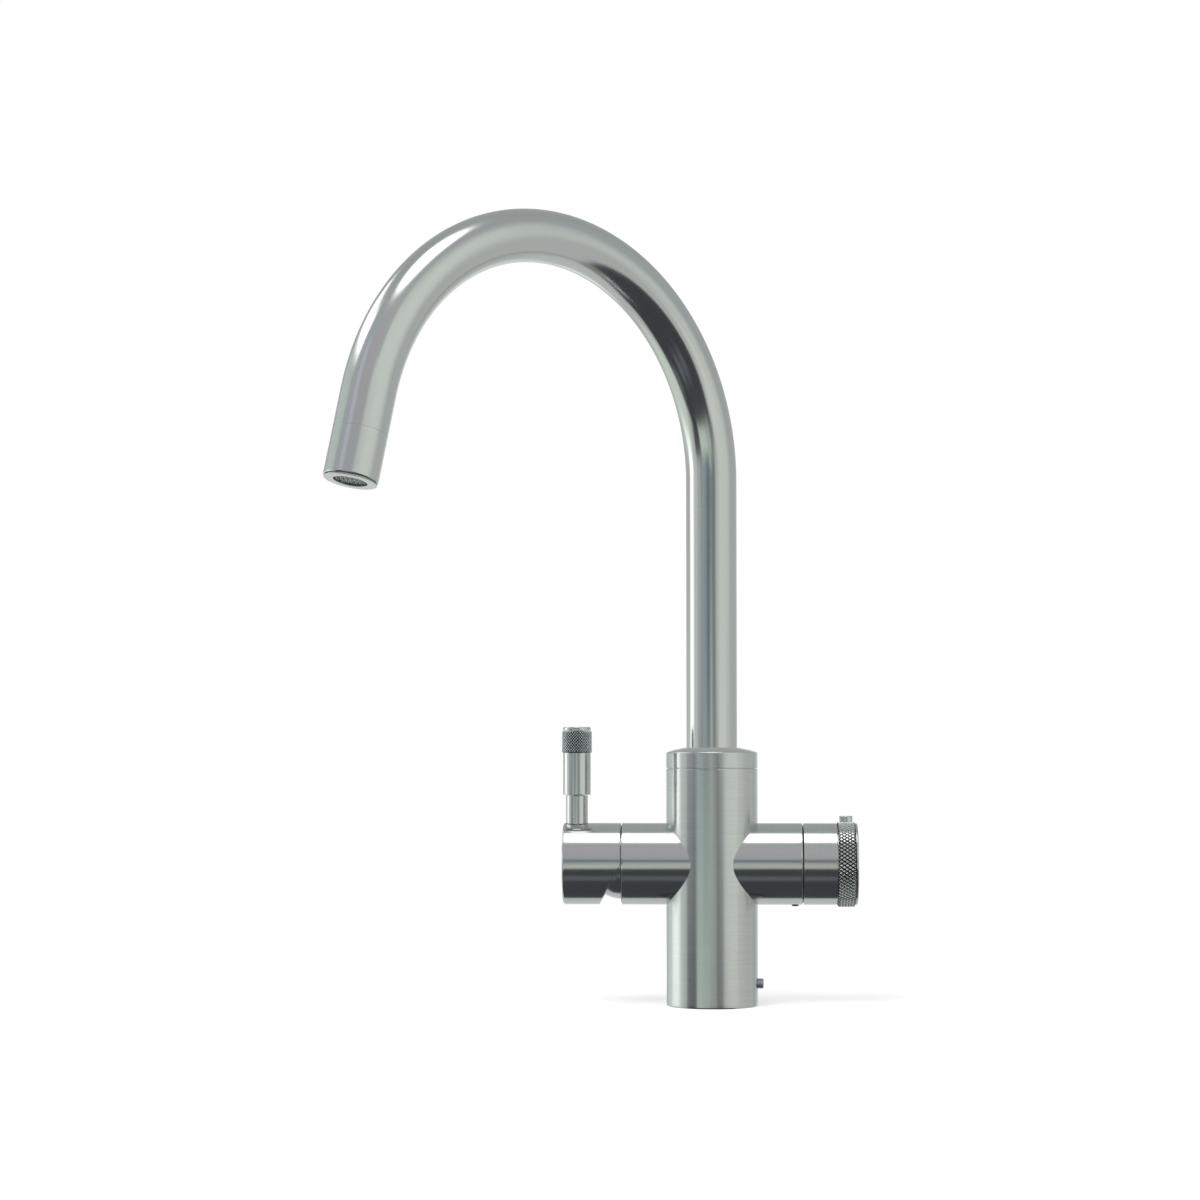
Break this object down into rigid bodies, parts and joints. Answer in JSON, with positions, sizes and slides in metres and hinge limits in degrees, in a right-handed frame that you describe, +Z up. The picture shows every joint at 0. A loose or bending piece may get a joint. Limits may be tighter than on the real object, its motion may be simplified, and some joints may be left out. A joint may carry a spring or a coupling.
{
  "type": "boiling water tap",
  "caption": "Brushed steel kitchen tap with a swivelling swan-neck spout, a mixer lever on the left arm and a boiling water knob with a safety button on the right arm.",
  "frame": {"origin": "centre of the body's underside, where it stands on the worktop's top face", "axes": "+Z up along the body, +X along the right arm with the boiling water knob, -Y towards the user"},
  "size_m": [0.2423, 0.1969, 0.4416],
  "materials": {
    "brushed_body": "fine brushing round the body",
    "satin_steel": "satin, brushed along its length",
    "knurled_steel": "diamond knurl, bright tips and dark grooves",
    "plain_steel": "plain machined steel",
    "dark_steel": "dark coated screw",
    "black_oxide": "blackened grub screw",
    "brass": "machined brass",
    "black_rubber": "matt rubber",
    "grey_plastic": "moulded, dark grey",
    "white_plastic": "moulded",
    "ceramic": "lapped ceramic",
    "inner_tube": "heat-proof plastic tube"
  },
  "bodies": {
    "root": {"body_casting": "brushed_body", "deck_gasket": "black_rubber", "threaded_shank": "brass", "shank_seal": "black_rubber", "rubber_washer": "black_rubber", "steel_washer": "plain_steel", "shank_nut": "brass", "body_lock_screw": "dark_steel", "cartridge_seal": "black_rubber", "cartridge_housing": "white_plastic", "fixed_ceramic_disc": "ceramic", "cartridge_nut": "brass", "dome_shroud": "satin_steel", "valve_seal": "black_rubber", "valve_housing": "brass", "lower_valve_disc": "ceramic", "valve_nut": "brass", "valve_grub_screw": "black_oxide", "turn_stop_ring": "grey_plastic"},
    "spout": {"spout_tube": "satin_steel", "inner_water_tube": "inner_tube", "spout_collar": "brushed_body", "spout_stub": "brass", "lower_seal_ring": "black_rubber", "upper_seal_ring": "black_rubber", "retaining_clip": "plain_steel", "bearing_ring": "white_plastic", "nozzle_sleeve": "satin_steel", "aerator_housing": "plain_steel", "aerator_screen": "plain_steel", "aerator_seal": "black_rubber"},
    "carrier": {"cartridge_carrier": "grey_plastic", "tilt_pin": "plain_steel"},
    "handle": {"cartridge_spindle": "plain_steel", "handle_cap": "satin_steel", "lever_stem": "satin_steel", "lever_grip": "knurled_steel", "lever_cap": "satin_steel"},
    "disc_slider": {"moving_ceramic_disc": "ceramic", "disc_driver": "grey_plastic"},
    "knob": {"upper_valve_disc": "ceramic", "valve_spindle": "brass", "knob_shell": "satin_steel", "knurled_ring": "knurled_steel", "knob_end_cap": "satin_steel", "knob_screw": "plain_steel", "button_spring": "plain_steel"},
    "button": {"safety_button": "satin_steel"}
  },
  "joints": [
    {"name": "spout_swivel", "type": "hinge", "parent": "root", "child": "spout", "pos_m": [0, 0, 0.116], "axis": [0, 0, 1], "continuous": true},
    {"name": "temperature_turn", "type": "hinge", "parent": "root", "child": "carrier", "pos_m": [-0.0448, 0, 0.0694], "axis": [1, 0, 0], "range_deg": [-45, 45]},
    {"name": "flow_tilt", "type": "hinge", "parent": "carrier", "child": "handle", "pos_m": [-0.0448, 0, 0.0694], "axis": [0, -1, 0], "range_deg": [0, 25]},
    {"name": "disc_shift", "type": "slide", "parent": "carrier", "child": "disc_slider", "axis": [0, 0, 1], "range_m": [0, 0.0045]},
    {"name": "valve_turn", "type": "hinge", "parent": "root", "child": "knob", "pos_m": [0.05, 0, 0.0694], "axis": [1, 0, 0], "range_deg": [0, 90]},
    {"name": "button_press", "type": "slide", "parent": "knob", "child": "button", "axis": [0, 0, -1], "range_m": [0, 0.0025], "stiffness_N_per_m": 800, "springref_m": -0.001, "deforming": ["button_spring"]}
  ],
  "couplings": [
    {"joint": "disc_shift", "follows": "flow_tilt", "m_per_rad": 0.01}
  ]
}
